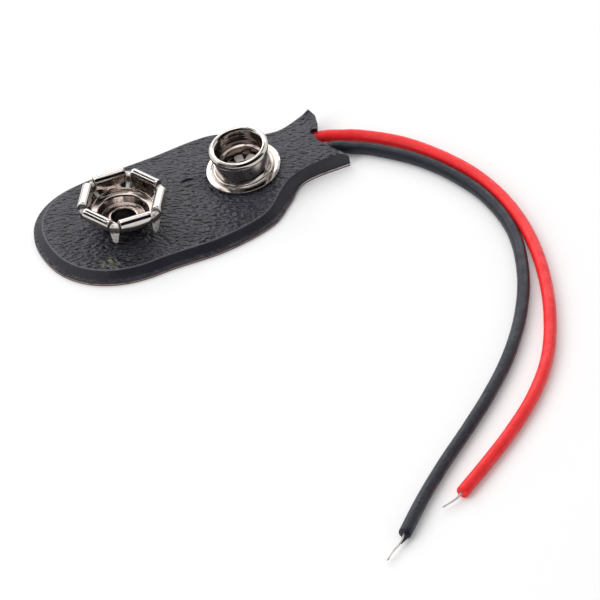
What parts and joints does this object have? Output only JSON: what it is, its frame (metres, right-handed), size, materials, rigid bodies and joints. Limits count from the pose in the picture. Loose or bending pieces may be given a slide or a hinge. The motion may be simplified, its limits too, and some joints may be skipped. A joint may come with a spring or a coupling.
{
  "type": "battery snap connector",
  "caption": "Flat battery snap connector in a grained vinyl cover, with a petalled socket clip, a round stud and loose insulated wire leads with bare ends.",
  "frame": {"origin": "bottom centre of the vinyl cover, on the surface that it lies on", "axes": "+X from the socket clip to the stud and the tail, +Y to the far side, +Z out of the snaps"},
  "size_m": [0.0402, 0.0606, 0.0051],
  "materials": {
    "black_vinyl": "leather-grained satin",
    "back_vinyl": "smooth satin",
    "fibre_board": "matt",
    "nickel": "bright nickel plate",
    "tinned_wire": "dull tin",
    "red_insulation": "satin",
    "black_insulation": "satin"
  },
  "bodies": {
    "root": {"top_cover": "black_vinyl", "back_cover": "back_vinyl", "insulating_board": "fibre_board", "socket_crown": "nickel", "socket_rivet": "nickel", "stud_cup": "nickel", "stud_rivet": "nickel", "socket_solder": "tinned_wire", "stud_solder": "tinned_wire", "red_strand": "tinned_wire", "black_strand": "tinned_wire", "red_tip": "tinned_wire", "black_tip": "tinned_wire", "red_lead": "red_insulation", "black_lead": "black_insulation"}
  },
  "joints": []
}
